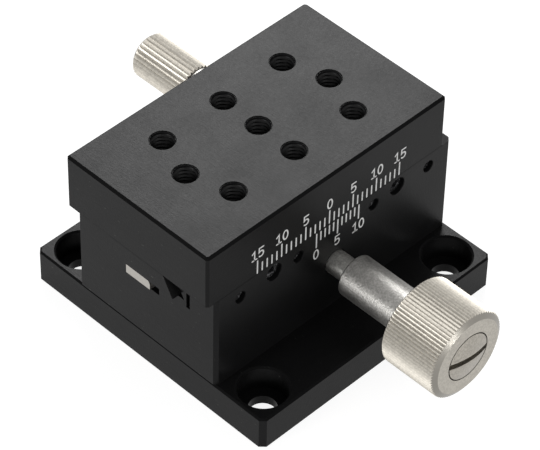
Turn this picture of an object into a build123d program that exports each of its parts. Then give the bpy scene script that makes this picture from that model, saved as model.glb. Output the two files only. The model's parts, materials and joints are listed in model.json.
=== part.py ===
from build123d import *
import os
from math import atan, cos, pi, radians, sin, sqrt, tan

# Linear translation stage: a table on a dovetail slide, driven by a rack and pinion.
# Millimetres. The origin is the centre of the base bolt pattern, on the underside of
# the base plate. +X is the direction of travel, -Y the side with the scale and the
# drive knob, +Y the side with the clamp knob, and +Z is up.

# Base plate
base_length = 50.0
base_width = 50.0
base_thickness = 6.0
base_corner_chamfer = 0.85
base_top_chamfer = 0.3
base_hole_pitch = 40.0
base_hole_diameter = 4.5
base_counterbore_diameter = 8.0
base_counterbore_depth = 4.4
base_hole_chamfer = 0.3

# Guide body
body_length = base_length
body_width = 30.0
body_height = 18.0
body_edge_chamfer = 0.6

# Table
table_length = 50.0
table_width = body_width
table_thickness = 10.0
table_edge_chamfer = 0.42
table_rest_offset = -1.8
travel = 30.0

# Tapped holes in the table
table_hole_diameter = 4.0
table_hole_depth = 8.0
table_hole_chamfer = 0.1
table_corner_pitch_x = 25.0
table_corner_pitch_y = 15.0
table_line_pitch_x = 30.0
table_line_pitch_y = 15.0

# Dovetail
dovetail_neck_width = 11.3
dovetail_depth = 3.45
dovetail_angle = 60.0
slide_gap = 0.02
flank_gap = 0.03

# Groove in the guide body
ledge_gap = 1.07
ledge_width = 1.3
groove_floor_gap = 2.5
groove_slope = 1.0
channel_side_gap = 0.35
channel_floor_gap = 2.05

# Sprung jaw and the screws that set it
jaw_neck = 0.425
saw_slot_width = 0.75
saw_slot_above_floor = 0.3
small_screw_diameter = 2.0
small_screw_reach = 20.0
small_screw_inner_reach = 8.0
small_screw_drop = 2.5
small_socket_size = 0.9
large_screw_diameter = 3.0
large_screw_reach = 13.1
large_screw_drop = 2.1
large_socket_size = 1.5
set_screw_recess = 0.8
set_screw_socket_depth = 1.2
set_screw_mouth_chamfer = 0.1

# Rack
rack_end_inset = 0.25
rack_width = 5.1
rack_height = 2.02
rack_corner_radius = 1.2
rack_plain_end = 5.5
rack_screw_diameter = 2.0
rack_screw_head_diameter = 3.4
rack_screw_length = 4.6
rack_screw_slot_width = 0.5
rack_screw_slot_depth = 0.5

# Pinion
gear_module = 0.5
pinion_teeth = 16
pressure_angle = 20.0
tooth_backlash = 0.06
rack_addendum = 0.45
tooth_root_depth = 0.6
pinion_width = 5.0
pinion_hub_diameter = 6.6
pinion_hub_length = 4.0
pinion_pin_diameter = 1.2
pinion_bore_gap = 0.2

# Drive shaft, its bearings and washers
shaft_diameter = 4.0
shaft_rear_recess = 2.0
shaft_in_knob = 2.8
running_gap = 0.02
push_gap = 0.01
shaft_mouth_gap = 0.15
front_bush_diameter = 6.0
front_bush_recess = 1.5
thrust_washer_thickness = 0.6
thrust_washer_wall = 1.8
washer_gap = 0.05
spring_washer_thickness = 0.7
rear_bush_recess = 0.5

# Drive sleeve and knob
sleeve_diameter = 7.08
sleeve_length = 12.75
sleeve_end_chamfer = 0.2
sleeve_standoff = 3.95
sleeve_screw_diameter = 2.0
sleeve_screw_socket_size = 0.9
sleeve_screw_socket_depth = 0.8
knob_diameter = 15.0
knob_length = 10.5
knob_knurl_depth = 0.25
knob_knurl_pitch = 0.589
knob_front_chamfer_length = 0.55
knob_front_chamfer_width = 1.0
knob_rear_chamfer = 0.25

# Slotted screw that holds the drive knob
knob_screw_head_diameter = 8.0
knob_screw_head_thickness = 2.0
knob_screw_dome_height = 0.55
knob_screw_gap = 0.2
knob_screw_thread_diameter = 3.0
knob_screw_thread_length = 8.0
knob_screw_slot_width = 1.0
knob_screw_slot_depth = 1.2
knob_screw_slot_angle = 7.0
screw_hole_gap = 0.1
tapped_hole_spare = 1.0

# Clamp
clamp_x = 6.7
clamp_drop = 2.1
clamp_pad_diameter = 4.0
clamp_pad_length = 3.5
clamp_pad_gap = 0.1
clamp_pad_side_gap = 0.05
clamp_pad_bore_spare = 1.1
clamp_screw_diameter = 3.0
clamp_screw_gap = 0.05
clamp_screw_in_knob = 6.0
clamp_sleeve_diameter = 7.08
clamp_sleeve_standoff = 0.6
clamp_sleeve_length = 6.4
clamp_knob_diameter = 7.8
clamp_knob_length = 11.1
clamp_rib_depth = 0.35
clamp_rib_pitch = 0.817
clamp_knob_end_chamfer = 0.6
clamp_knob_near_chamfer = 0.2

# Fasteners between the base plate and the guide body
base_screw_diameter = 3.0
base_screw_head_diameter = 6.0
base_screw_length = 12.0
base_screw_recess = 0.2
base_screw_pitch_x = 34.0
base_screw_pitch_y = 18.0
base_screw_socket_size = 2.0
base_screw_socket_depth = 1.2
dowel_diameter = 2.5
dowel_length = 8.0
dowel_pitch = 44.0

# Travel stop
stop_pin_diameter = 2.0
stop_pin_x = 8.0
stop_pin_y = -4.4
stop_pin_seat = 6.0
stop_slot_depth = 1.6
stop_pin_top_gap = 0.3
stop_slot_side_gap = 0.15
stop_end_gap = 0.1

# Levels, from the base upward
body_bottom = base_thickness
body_top = body_bottom + body_height
table_bottom = body_top + slide_gap
table_top = table_bottom + table_thickness
male_bottom = table_bottom - dovetail_depth
rack_length = table_length - 2 * rack_end_inset
rack_bottom = male_bottom - rack_height
rack_pitch_level = rack_bottom + rack_addendum
pinion_pitch_radius = gear_module * pinion_teeth / 2
drive_level = rack_pitch_level - pinion_pitch_radius
ledge_level = male_bottom - ledge_gap
groove_floor_level = male_bottom - groove_floor_gap
channel_floor_level = rack_bottom - channel_floor_gap
slot_floor_level = groove_floor_level + saw_slot_above_floor
clamp_level = body_top - clamp_drop

# Half widths across the slide
neck_half = dovetail_neck_width / 2
flank_run = 1 / tan(radians(dovetail_angle))
male_foot_half = neck_half + dovetail_depth * flank_run
flank_shift = flank_gap / sin(radians(dovetail_angle))
groove_mouth_half = neck_half + flank_shift + slide_gap * flank_run
ledge_half = neck_half + flank_shift + (table_bottom - ledge_level) * flank_run
channel_half = rack_width / 2 + channel_side_gap
saw_slot_near = ledge_half + jaw_neck

# Places along the drive axis, from the pinion outward
body_front = -body_width / 2
body_back = body_width / 2
pinion_front = -pinion_width / 2
pinion_back = pinion_width / 2
pinion_outer_radius = pinion_pitch_radius + gear_module
pinion_bore_radius = pinion_outer_radius + pinion_bore_gap
pinion_bore_front = pinion_front - thrust_washer_thickness - 2 * washer_gap
hub_back = pinion_back + pinion_hub_length
rear_bush_front = hub_back + spring_washer_thickness + 2 * washer_gap
shaft_radius = shaft_diameter / 2
shaft_back = body_back - shaft_rear_recess
sleeve_back = body_front - sleeve_standoff
knob_back = sleeve_back - sleeve_length
knob_front = knob_back - knob_length
shaft_front = knob_back - shaft_in_knob
knob_seat = knob_front + knob_screw_head_thickness

# Places along the clamp axis
clamp_flank_y = neck_half + (table_bottom - clamp_level) * flank_run
clamp_pad_back = clamp_flank_y + clamp_pad_length
clamp_bore_end = clamp_pad_back + clamp_pad_bore_spare
clamp_sleeve_near = body_back + clamp_sleeve_standoff
clamp_knob_near = clamp_sleeve_near + clamp_sleeve_length
clamp_knob_far = clamp_knob_near + clamp_knob_length


def block(x_low, x_high, y_low, y_high, z_low, z_high):
    """A box between two corners."""
    middle = Pos((x_low + x_high) / 2, (y_low + y_high) / 2, (z_low + z_high) / 2)
    return middle * Box(x_high - x_low, y_high - y_low, z_high - z_low)


def rod_z(x, y, radius, z_low, z_high):
    """An upright cylinder."""
    return Pos(x, y, (z_low + z_high) / 2) * Cylinder(radius, z_high - z_low)


def rod_y(x, z, radius, y_low, y_high):
    """A cylinder along Y."""
    return Pos(x, (y_low + y_high) / 2, z) * Rot(90, 0, 0) * Cylinder(radius, y_high - y_low)


def cone_z(x, y, low_radius, high_radius, z_low, z_high):
    """An upright cone frustum."""
    return Pos(x, y, (z_low + z_high) / 2) * Cone(low_radius, high_radius, z_high - z_low)


def turned_y(x, z, outline):
    """A solid of revolution about a line along Y, from points of (radius, y)."""
    points = [(radius, y) for radius, y in outline]
    face = make_face(Polyline(*points, close=True))
    return Pos(x, 0, z) * revolve(face, Axis.Y)


def prism_x(x_low, x_high, outline):
    """A section given by (y, z) points, drawn out along X."""
    face = Plane.YZ * make_face(Polyline(*outline, close=True))
    return Pos(x_low, 0, 0) * extrude(face, x_high - x_low)


def prism_y(y_low, y_high, outline):
    """A section given by (x, z) points, drawn out along Y."""
    plane = Plane(origin=(0, y_high, 0), x_dir=(1, 0, 0), z_dir=(0, -1, 0))
    face = plane * make_face(Polyline(*outline, close=True))
    return extrude(face, y_high - y_low)


def hexagon_socket(size, depth):
    """An upright hexagon prism, size across flats, with its mouth at Z = 0."""
    sketch = RegularPolygon(size / sqrt(3), 6)
    return Pos(0, 0, -depth) * extrude(sketch, depth)


def corner_places(pitch_x, pitch_y):
    """The four corners of a rectangle about the origin."""
    places = []
    for x in (-pitch_x / 2, pitch_x / 2):
        for y in (-pitch_y / 2, pitch_y / 2):
            places.append((x, y))
    return places


def serrated_outline(x, z, crest_radius, depth, pitch):
    """Points of a round section with V grooves at an even pitch."""
    count = round(2 * pi * crest_radius / pitch)
    points = []
    for step in range(count):
        crest_angle = 2 * pi * step / count
        root_angle = crest_angle + pi / count
        root_radius = crest_radius - depth
        points.append((x + crest_radius * cos(crest_angle), z + crest_radius * sin(crest_angle)))
        points.append((x + root_radius * cos(root_angle), z + root_radius * sin(root_angle)))
    return points


def make_base_plate():
    half_length = base_length / 2
    half_width = base_width / 2
    plate = block(-half_length, half_length, -half_width, half_width, 0, base_thickness)
    plate = chamfer(plate.edges().filter_by(Axis.Z), base_corner_chamfer)
    plate = chamfer(plate.faces().sort_by(Axis.Z)[-1].edges(), base_top_chamfer)
    bore = base_counterbore_diameter / 2
    mouth = bore + base_hole_chamfer
    floor = base_thickness - base_counterbore_depth
    for x, y in corner_places(base_hole_pitch, base_hole_pitch):
        plate -= rod_z(x, y, base_hole_diameter / 2, 0, base_thickness)
        plate -= rod_z(x, y, bore, floor, base_thickness)
        plate -= cone_z(x, y, bore, mouth, base_thickness - base_hole_chamfer, base_thickness)
    for x, y in corner_places(base_screw_pitch_x, base_screw_pitch_y):
        plate -= base_screw_blank(x, y, push_gap)
    for x in (-dowel_pitch / 2, dowel_pitch / 2):
        plate -= rod_z(x, 0, dowel_diameter / 2 + push_gap, base_thickness - dowel_length / 2, base_thickness)
    return plate


def base_screw_blank(x, y, gap):
    """A countersunk screw without its socket, or with a gap the hole that takes it."""
    shank = base_screw_diameter / 2 + gap
    head = base_screw_head_diameter / 2 + gap
    head_top = base_screw_recess + head - shank
    blank = cone_z(x, y, head, shank, base_screw_recess, head_top)
    blank += rod_z(x, y, shank, head_top, base_screw_recess + base_screw_length + gap)
    if gap:
        blank += rod_z(x, y, head, 0, base_screw_recess)
    return blank


def make_base_screws():
    screws = []
    for x, y in corner_places(base_screw_pitch_x, base_screw_pitch_y):
        socket = Pos(x, y, base_screw_recess + base_screw_socket_depth)
        socket *= hexagon_socket(base_screw_socket_size, base_screw_socket_depth)
        screws.append(base_screw_blank(x, y, 0) - socket)
    return Compound(children=screws)


def make_dowel_pins():
    pins = []
    for x in (-dowel_pitch / 2, dowel_pitch / 2):
        low = base_thickness - dowel_length / 2
        pins.append(rod_z(x, 0, dowel_diameter / 2, low + push_gap, low + dowel_length))
    return Compound(children=pins)


def groove_outline():
    """Half of the dovetail groove is set out in steps and mirrored to the other half."""
    half = [
        (groove_mouth_half, body_top),
        (ledge_half, ledge_level),
        (ledge_half - ledge_width, ledge_level),
        (ledge_half - ledge_width - groove_slope, groove_floor_level),
        (channel_half, groove_floor_level),
        (channel_half, channel_floor_level),
    ]
    front = [(-y, z) for y, z in half]
    return front + half[::-1]


def jaw_screw_places():
    """Place, height and diameter of each screw that presses the sprung jaw."""
    small_level = body_top - small_screw_drop
    large_level = body_top - large_screw_drop
    small = []
    for x in (-small_screw_reach, -small_screw_inner_reach, small_screw_inner_reach, small_screw_reach):
        small.append((x, small_level))
    large = [(-large_screw_reach, large_level), (large_screw_reach, large_level)]
    return small, large


def make_guide_body():
    half_length = body_length / 2
    body = block(-half_length, half_length, body_front, body_back, body_bottom, body_top)
    body = chamfer(body.edges().filter_by(Axis.Z), body_edge_chamfer)
    body -= prism_x(-half_length, half_length, groove_outline())
    slot_far = -saw_slot_near - saw_slot_width
    body -= block(-half_length, half_length, slot_far, -saw_slot_near, slot_floor_level, body_top)
    body -= jaw_screw_holes(slot_far)
    body -= drive_bores()
    body -= clamp_bores()
    pin_radius = stop_pin_diameter / 2 + push_gap
    body -= rod_z(stop_pin_x, stop_pin_y, pin_radius, groove_floor_level - stop_pin_seat, groove_floor_level)
    for x, y in corner_places(base_screw_pitch_x, base_screw_pitch_y):
        body -= base_screw_blank(x, y, push_gap)
    for x in (-dowel_pitch / 2, dowel_pitch / 2):
        top = base_thickness + dowel_length / 2 + push_gap
        body -= rod_z(x, 0, dowel_diameter / 2 + push_gap, base_thickness, top)
    return body


def jaw_screw_holes(slot_far):
    """Tapped holes from the front face to the saw slot."""
    small, large = jaw_screw_places()
    holes = []
    for places, diameter in ((small, small_screw_diameter), (large, large_screw_diameter)):
        radius = diameter / 2 + push_gap
        wide = radius + set_screw_mouth_chamfer
        for x, z in places:
            mouth = [
                (0, body_front),
                (wide, body_front),
                (radius, body_front + set_screw_mouth_chamfer),
                (radius, slot_far),
                (0, slot_far),
            ]
            holes.append(turned_y(x, z, mouth))
    return holes


def drive_bores():
    """The stepped bore from the back face, and the mouth for the shaft at the front."""
    bush_front = body_front + front_bush_recess
    bush_radius = front_bush_diameter / 2 + push_gap
    return [
        rod_y(0, drive_level, pinion_bore_radius, pinion_bore_front, body_back),
        rod_y(0, drive_level, bush_radius, bush_front, pinion_bore_front),
        rod_y(0, drive_level, shaft_radius + shaft_mouth_gap, body_front, bush_front),
    ]


def clamp_bores():
    """The bore for the pad, open to the groove, and the tapped hole behind it."""
    pad_radius = clamp_pad_diameter / 2 + clamp_pad_side_gap
    screw_radius = clamp_screw_diameter / 2 + clamp_screw_gap
    return [
        rod_y(clamp_x, clamp_level, pad_radius, channel_half, clamp_bore_end),
        rod_y(clamp_x, clamp_level, screw_radius, clamp_bore_end, body_back),
    ]


def make_jaw_screws(places, diameter, socket_size):
    """Socket set screws that reach across the saw slot to the jaw."""
    length = -saw_slot_near - body_front - set_screw_recess
    screws = []
    for x, z in places:
        face = body_front + set_screw_recess
        screw = rod_y(x, z, diameter / 2, face, face + length)
        socket = Pos(x, face, z) * Rot(90, 0, 0) * hexagon_socket(socket_size, set_screw_socket_depth)
        screws.append(screw - socket)
    return Compound(children=screws)


def make_front_bush():
    front = body_front + front_bush_recess
    outer = rod_y(0, drive_level, front_bush_diameter / 2, front + push_gap, pinion_bore_front)
    return outer - rod_y(0, drive_level, shaft_radius + running_gap, front, pinion_bore_front)


def make_rear_bush():
    back = body_back - rear_bush_recess
    outer = rod_y(0, drive_level, pinion_bore_radius - push_gap, rear_bush_front, back)
    return outer - rod_y(0, drive_level, shaft_radius + running_gap, rear_bush_front, back)


def make_thrust_washer():
    front = pinion_bore_front
    back = front + thrust_washer_thickness
    bore = shaft_radius + 2 * running_gap
    washer = rod_y(0, drive_level, bore + thrust_washer_wall, front, back)
    return washer - rod_y(0, drive_level, bore, front, back)


def make_stop_pin():
    top = male_bottom + stop_slot_depth - stop_pin_top_gap
    bottom = groove_floor_level - stop_pin_seat + push_gap
    return rod_z(stop_pin_x, stop_pin_y, stop_pin_diameter / 2, bottom, top)


def table_hole_places():
    """The nine tapped holes, from the table's centre."""
    places = corner_places(table_corner_pitch_x, table_corner_pitch_y)
    places.append((0, 0))
    for side in (-1, 1):
        places.append((side * table_line_pitch_x / 2, 0))
        places.append((0, side * table_line_pitch_y / 2))
    return places


def make_table():
    low = table_rest_offset - table_length / 2
    high = table_rest_offset + table_length / 2
    half_width = table_width / 2
    slab = block(low, high, -half_width, half_width, table_bottom, table_top)
    slab = chamfer(slab.edges().filter_by(Axis.Z), table_edge_chamfer)
    slab = chamfer(slab.faces().sort_by(Axis.Z)[-1].edges(), table_edge_chamfer)
    male = [
        (-neck_half, table_bottom),
        (-male_foot_half, male_bottom),
        (male_foot_half, male_bottom),
        (neck_half, table_bottom),
    ]
    slab += prism_x(low, high, male)
    radius = table_hole_diameter / 2
    for x, y in table_hole_places():
        place = table_rest_offset + x
        slab -= rod_z(place, y, radius, table_top - table_hole_depth, table_top)
        mouth_low = table_top - table_hole_chamfer
        slab -= cone_z(place, y, radius, radius + table_hole_chamfer, mouth_low, table_top)
    for x in rack_screw_places():
        screw_top = rack_bottom + rack_screw_length + push_gap
        slab -= rod_z(x, 0, rack_screw_diameter / 2 + push_gap, male_bottom, screw_top)
    return slab - stop_slot()


def stop_slot():
    """The slot in the foot of the dovetail that the stop pin runs in."""
    middle = stop_pin_x
    reach = travel / 2 + stop_end_gap
    half_width = stop_pin_diameter / 2 + stop_slot_side_gap
    slot_top = male_bottom + stop_slot_depth
    straight = block(
        middle - reach, middle + reach,
        stop_pin_y - half_width, stop_pin_y + half_width,
        male_bottom, slot_top,
    )
    ends = [rod_z(middle + side * reach, stop_pin_y, half_width, male_bottom, slot_top) for side in (-1, 1)]
    return Pos(table_rest_offset, 0, 0) * (straight + ends)


def rack_screw_places():
    """The two screws that hold the rack, in its plain ends."""
    reach = rack_length / 2 - rack_plain_end / 2
    return [table_rest_offset - reach, table_rest_offset + reach]


def rack_outline():
    """The rack's side, with tooth spaces at an even pitch about the table's centre."""
    tooth_pitch = pi * gear_module
    slant = tan(radians(pressure_angle))
    middle_half = tooth_pitch / 4 + tooth_backlash / 4
    mouth_half = middle_half + rack_addendum * slant
    floor_half = middle_half - tooth_root_depth * slant
    floor_level = rack_pitch_level + tooth_root_depth
    reach = int((rack_length / 2 - rack_plain_end - mouth_half) / tooth_pitch)
    low = table_rest_offset - rack_length / 2
    high = table_rest_offset + rack_length / 2
    points = [(low, male_bottom), (low, rack_bottom)]
    for step in range(-reach, reach + 1):
        centre = table_rest_offset + step * tooth_pitch
        points.append((centre - mouth_half, rack_bottom))
        points.append((centre - floor_half, floor_level))
        points.append((centre + floor_half, floor_level))
        points.append((centre + mouth_half, rack_bottom))
    points.append((high, rack_bottom))
    points.append((high, male_bottom))
    return points


def make_rack():
    rack = prism_y(-rack_width / 2, rack_width / 2, rack_outline())
    long_top_edges = rack.faces().sort_by(Axis.Z)[-1].edges().filter_by(Axis.X)
    rack = fillet(long_top_edges.sort_by(Axis.Y)[0], rack_corner_radius)
    for x in rack_screw_places():
        rack -= rack_screw_blank(x, push_gap)
    return rack


def rack_screw_blank(x, gap):
    """A countersunk screw without its slot, or with a gap the hole that takes it."""
    head = rack_screw_head_diameter / 2 + gap
    shank = rack_screw_diameter / 2 + gap
    head_top = rack_bottom + head - shank
    blank = cone_z(x, 0, head, shank, rack_bottom, head_top)
    return blank + rod_z(x, 0, shank, head_top, rack_bottom + rack_screw_length)


def make_rack_screws():
    screws = []
    for x in rack_screw_places():
        half_head = rack_screw_head_diameter / 2
        half_slot = rack_screw_slot_width / 2
        slot_top = rack_bottom + rack_screw_slot_depth
        slot = block(x - half_slot, x + half_slot, -half_head, half_head, rack_bottom, slot_top)
        screws.append(rack_screw_blank(x, 0) - slot)
    return Compound(children=screws)


def involute_angle(radius, base_radius):
    """Angle swept by the involute between its base circle and a radius."""
    roll = sqrt(max(radius ** 2 / base_radius ** 2 - 1, 0))
    return roll - atan(roll)


def pinion_outline():
    """Involute teeth, with one tooth upright when the table is in mid travel."""
    base_radius = pinion_pitch_radius * cos(radians(pressure_angle))
    root_radius = pinion_pitch_radius - tooth_root_depth
    steps = 4
    flank_radii = [base_radius + (pinion_outer_radius - base_radius) * i / steps for i in range(steps + 1)]
    pitch_half = (pi * gear_module / 2 - tooth_backlash / 2) / (2 * pinion_pitch_radius)
    pitch_turn = involute_angle(pinion_pitch_radius, base_radius)
    rest_turn = table_rest_offset / pinion_pitch_radius
    points = []
    for tooth in range(pinion_teeth):
        middle = rest_turn + 2 * pi * tooth / pinion_teeth
        half_angles = [pitch_half + pitch_turn - involute_angle(r, base_radius) for r in flank_radii]
        rising = [(root_radius, middle - half_angles[0])]
        rising += [(r, middle - a) for r, a in zip(flank_radii, half_angles)]
        falling = [(r, 2 * middle - a) for r, a in rising[::-1]]
        points += [(r * sin(a), drive_level + r * cos(a)) for r, a in rising + falling]
    return points


def make_pinion():
    pinion = prism_y(pinion_front, pinion_back, pinion_outline())
    pinion += rod_y(0, drive_level, pinion_hub_diameter / 2, pinion_back, hub_back)
    pinion -= rod_y(0, drive_level, shaft_radius + push_gap, pinion_front, hub_back)
    return pinion - pinion_pin_blank(push_gap)


def pinion_pin_blank(gap):
    """The cross pin through the hub, or with a gap the hole that takes it."""
    middle = (pinion_back + hub_back) / 2
    half = pinion_hub_diameter / 2
    return rod_z(0, middle, pinion_pin_diameter / 2 + gap, drive_level - half, drive_level + half)


def make_pinion_pin():
    """The cross pin, with its ends rounded to the hub."""
    return pinion_pin_blank(0) & rod_y(0, drive_level, pinion_hub_diameter / 2, pinion_back, hub_back)


def make_spring_washer():
    front = hub_back
    back = front + spring_washer_thickness
    washer = rod_y(0, drive_level, pinion_hub_diameter / 2, front, back)
    return washer - rod_y(0, drive_level, shaft_radius + push_gap, front, back)


def make_drive_shaft():
    shaft = rod_y(0, drive_level, shaft_radius, shaft_front, shaft_back)
    shaft -= pinion_pin_blank(push_gap)
    hole_end = knob_seat + knob_screw_thread_length + tapped_hole_spare
    hole_radius = knob_screw_thread_diameter / 2 + push_gap
    return shaft - rod_y(0, drive_level, hole_radius, shaft_front, hole_end)


def make_drive_sleeve():
    radius = sleeve_diameter / 2
    bore = shaft_radius + push_gap
    outline = [
        (bore, sleeve_back),
        (radius - sleeve_end_chamfer, sleeve_back),
        (radius, sleeve_back - sleeve_end_chamfer),
        (radius, knob_back + sleeve_end_chamfer),
        (radius - sleeve_end_chamfer, knob_back),
        (bore, knob_back),
    ]
    sleeve = turned_y(0, drive_level, outline)
    middle = (sleeve_back + knob_back) / 2
    hole_radius = sleeve_screw_diameter / 2 + push_gap
    return sleeve - rod_z(0, middle, hole_radius, drive_level - radius, drive_level - shaft_radius)


def make_sleeve_screw():
    """A set screw in the underside of the sleeve, with its tip on the shaft."""
    low = drive_level - sleeve_diameter / 2 + sleeve_end_chamfer
    middle = (sleeve_back + knob_back) / 2
    screw = rod_z(0, middle, sleeve_screw_diameter / 2, low, drive_level - shaft_radius)
    socket = Pos(0, middle, low + sleeve_screw_socket_depth)
    socket *= hexagon_socket(sleeve_screw_socket_size, sleeve_screw_socket_depth)
    return screw - socket


def make_drive_knob():
    crest = knob_diameter / 2
    ridges = serrated_outline(0, drive_level, crest, knob_knurl_depth, knob_knurl_pitch)
    knob = prism_y(knob_front, knob_back, ridges)
    envelope = [
        (0, knob_back),
        (crest - knob_rear_chamfer, knob_back),
        (crest, knob_back - knob_rear_chamfer),
        (crest, knob_front + knob_front_chamfer_length),
        (crest - knob_front_chamfer_width, knob_front),
        (0, knob_front),
    ]
    knob &= turned_y(0, drive_level, envelope)
    recess = knob_screw_head_diameter / 2 + knob_screw_gap
    knob -= rod_y(0, drive_level, recess, knob_front, knob_seat)
    knob -= rod_y(0, drive_level, knob_screw_thread_diameter / 2 + screw_hole_gap, knob_seat, knob_back)
    return knob - rod_y(0, drive_level, shaft_radius + push_gap, shaft_front, knob_back)


def make_knob_screw():
    """A slotted screw with a domed head, flush with the face of the knob at its rim."""
    head_radius = knob_screw_head_diameter / 2
    thread_radius = knob_screw_thread_diameter / 2
    thread_end = knob_seat + knob_screw_thread_length
    crown = knob_front - knob_screw_dome_height
    dome = TangentArc((0, crown), (head_radius, knob_front), tangent=(1, 0))
    rest = Polyline(
        (head_radius, knob_front),
        (head_radius, knob_seat),
        (thread_radius, knob_seat),
        (thread_radius, thread_end),
        (0, thread_end),
        (0, crown),
    )
    screw = Pos(0, 0, drive_level) * revolve(make_face(dome + rest), Axis.Y)
    half_slot = knob_screw_slot_width / 2
    slot_floor = crown + knob_screw_slot_depth
    slot = block(-head_radius, head_radius, crown, slot_floor, -half_slot, half_slot)
    return screw - Pos(0, 0, drive_level) * Rot(0, knob_screw_slot_angle, 0) * slot


def make_clamp_pad():
    """A brass pad whose face lies along the dovetail's flank, a small gap away."""
    pad = rod_y(clamp_x, clamp_level, clamp_pad_diameter / 2, 0, clamp_pad_back)
    shift = clamp_pad_gap / sin(radians(dovetail_angle))
    reach = dovetail_depth
    wedge = [
        (0, table_bottom + reach),
        (neck_half + shift - reach * flank_run, table_bottom + reach),
        (neck_half + shift + 2 * reach * flank_run, table_bottom - 2 * reach),
        (0, table_bottom - 2 * reach),
    ]
    half = clamp_pad_diameter
    return pad - prism_x(clamp_x - half, clamp_x + half, wedge)


def make_clamp_screw():
    near = clamp_pad_back + running_gap
    far = clamp_knob_near + clamp_screw_in_knob
    return rod_y(clamp_x, clamp_level, clamp_screw_diameter / 2, near, far)


def make_clamp_sleeve():
    radius = clamp_sleeve_diameter / 2
    bore = clamp_screw_diameter / 2 + push_gap
    outline = [
        (bore, clamp_sleeve_near),
        (radius - sleeve_end_chamfer, clamp_sleeve_near),
        (radius, clamp_sleeve_near + sleeve_end_chamfer),
        (radius, clamp_knob_near - sleeve_end_chamfer),
        (radius - sleeve_end_chamfer, clamp_knob_near),
        (bore, clamp_knob_near),
    ]
    return turned_y(clamp_x, clamp_level, outline)


def make_clamp_knob():
    crest = clamp_knob_diameter / 2
    ridges = serrated_outline(clamp_x, clamp_level, crest, clamp_rib_depth, clamp_rib_pitch)
    knob = prism_y(clamp_knob_near, clamp_knob_far, ridges)
    envelope = [
        (0, clamp_knob_near),
        (crest - clamp_knob_near_chamfer, clamp_knob_near),
        (crest, clamp_knob_near + clamp_knob_near_chamfer),
        (crest, clamp_knob_far - clamp_knob_end_chamfer),
        (crest - clamp_knob_end_chamfer, clamp_knob_far),
        (0, clamp_knob_far),
    ]
    knob &= turned_y(clamp_x, clamp_level, envelope)
    screw_end = clamp_knob_near + clamp_screw_in_knob + push_gap
    bore = clamp_screw_diameter / 2 + push_gap
    return knob - rod_y(clamp_x, clamp_level, bore, clamp_knob_near, screw_end)


def main():
    small, large = jaw_screw_places()
    nodes = {
        "base_plate": make_base_plate(),
        "guide_body": make_guide_body(),
        "base_screws": make_base_screws(),
        "dowel_pins": make_dowel_pins(),
        "jaw_screws_small": make_jaw_screws(small, small_screw_diameter, small_socket_size),
        "jaw_screws_large": make_jaw_screws(large, large_screw_diameter, large_socket_size),
        "front_bush": make_front_bush(),
        "rear_bush": make_rear_bush(),
        "thrust_washer": make_thrust_washer(),
        "stop_pin": make_stop_pin(),
        "table": make_table(),
        "rack": make_rack(),
        "rack_screws": make_rack_screws(),
        "drive_shaft": make_drive_shaft(),
        "pinion": make_pinion(),
        "pinion_pin": make_pinion_pin(),
        "spring_washer": make_spring_washer(),
        "drive_sleeve": make_drive_sleeve(),
        "sleeve_screw": make_sleeve_screw(),
        "drive_knob": make_drive_knob(),
        "knob_screw": make_knob_screw(),
        "clamp_pad": make_clamp_pad(),
        "clamp_screw": make_clamp_screw(),
        "clamp_sleeve": make_clamp_sleeve(),
        "clamp_knob": make_clamp_knob(),
    }
    os.makedirs("parts", exist_ok=True)
    for name, solid in nodes.items():
        export_step(solid, f"parts/{name}.step")


main()
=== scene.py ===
import json
import math

import bmesh
import bpy
from bpy.props import FloatProperty, FloatVectorProperty, IntProperty, PointerProperty
from mathutils import Matrix, Vector


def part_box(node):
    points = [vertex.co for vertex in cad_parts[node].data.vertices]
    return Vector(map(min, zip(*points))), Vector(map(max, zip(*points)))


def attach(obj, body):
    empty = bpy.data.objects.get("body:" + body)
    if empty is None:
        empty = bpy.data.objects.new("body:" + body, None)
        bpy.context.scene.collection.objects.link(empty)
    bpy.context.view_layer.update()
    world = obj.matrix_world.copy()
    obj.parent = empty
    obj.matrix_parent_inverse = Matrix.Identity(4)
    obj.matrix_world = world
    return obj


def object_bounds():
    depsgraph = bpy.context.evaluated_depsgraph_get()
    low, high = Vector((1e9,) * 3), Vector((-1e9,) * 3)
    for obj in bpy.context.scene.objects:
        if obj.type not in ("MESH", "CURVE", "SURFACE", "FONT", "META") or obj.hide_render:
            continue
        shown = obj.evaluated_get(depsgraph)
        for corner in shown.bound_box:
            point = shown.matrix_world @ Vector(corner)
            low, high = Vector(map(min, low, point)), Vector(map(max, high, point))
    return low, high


# Finishes, engraving and studio for a linear translation stage. Metres, in the frame
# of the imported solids: +X along the travel, -Y the side with the scale, +Z up.

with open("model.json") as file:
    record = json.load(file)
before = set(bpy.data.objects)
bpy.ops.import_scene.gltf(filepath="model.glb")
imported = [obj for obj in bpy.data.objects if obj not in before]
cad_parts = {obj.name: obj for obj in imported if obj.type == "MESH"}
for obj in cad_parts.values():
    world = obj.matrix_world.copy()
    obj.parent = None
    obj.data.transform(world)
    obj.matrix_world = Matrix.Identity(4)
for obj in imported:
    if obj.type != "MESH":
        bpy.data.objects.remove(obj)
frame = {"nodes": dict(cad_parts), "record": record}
cad_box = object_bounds()

bl_info = {
    "name": "Linear Translation Stage",
    "version": (1, 0, 0),
    "blender": (4, 5, 0),
    "location": "3D View > Sidebar > Stage",
    "description": "Finishes, engraved scales and screw threads for a dovetail translation stage",
    "category": "Object",
}

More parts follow.
